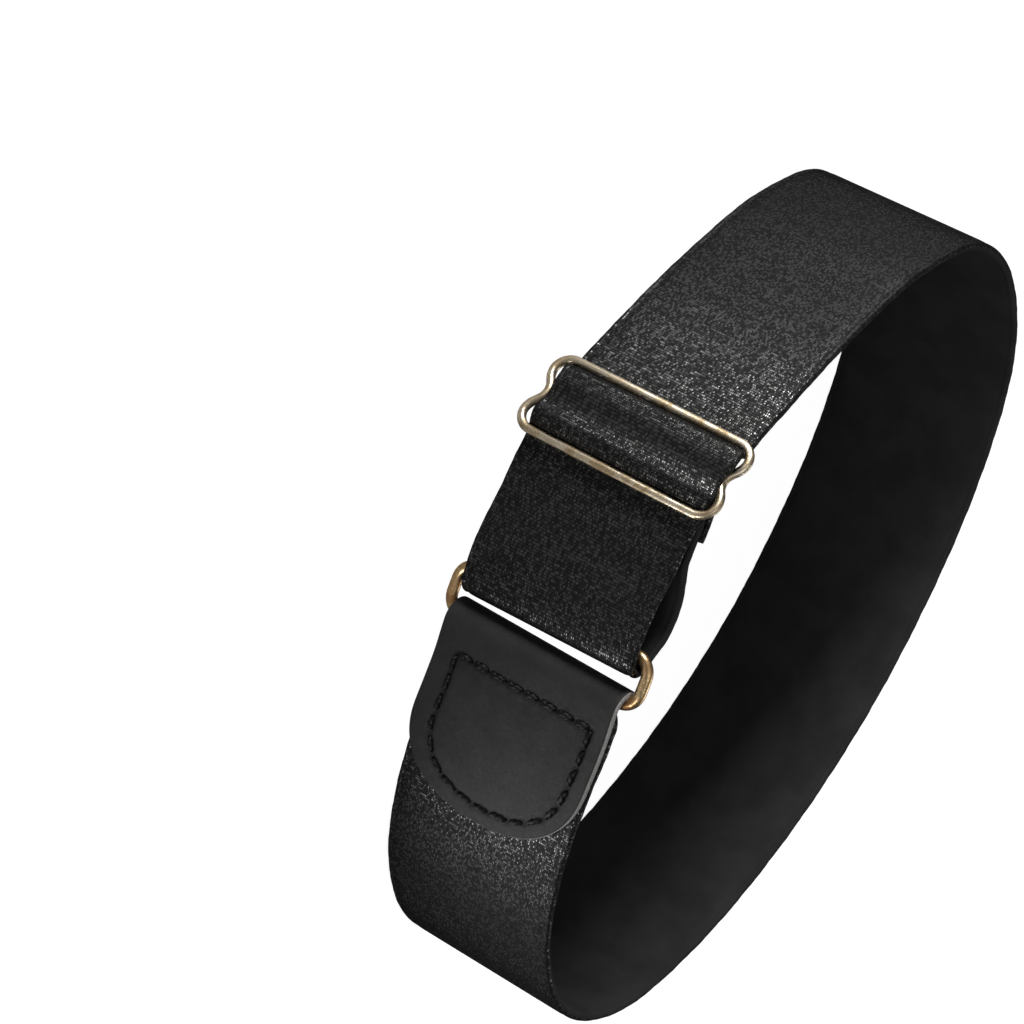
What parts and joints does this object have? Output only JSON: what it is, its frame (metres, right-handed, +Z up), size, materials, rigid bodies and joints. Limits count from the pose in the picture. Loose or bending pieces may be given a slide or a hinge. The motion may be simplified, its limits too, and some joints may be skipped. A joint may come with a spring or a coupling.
{
  "type": "sleeve garter",
  "caption": "Adjustable elastic sleeve garter: a loop of woven elastic with a wire slide adjuster, an oval wire ring and a stitched leather tab, worn round the upper arm over a shirt sleeve.",
  "frame": {"origin": "under the middle of the garter, in the plane that it stands on", "axes": "+Z up along the width of the band, +X along the loop's longer diameter towards the leather tab's end, -Y towards the fastenings"},
  "size_m": [0.132, 0.103, 0.0351],
  "materials": {
    "black_elastic": "matte woven elastic",
    "antique_brass": "antique, mottled",
    "yellow_brass": "satin",
    "grey_leather": "matte, fine grain"
  },
  "bodies": {
    "root": {"elastic_band": "black_elastic", "slide_adjuster": "antique_brass", "oval_ring": "yellow_brass", "leather_tab": "grey_leather"}
  },
  "joints": []
}
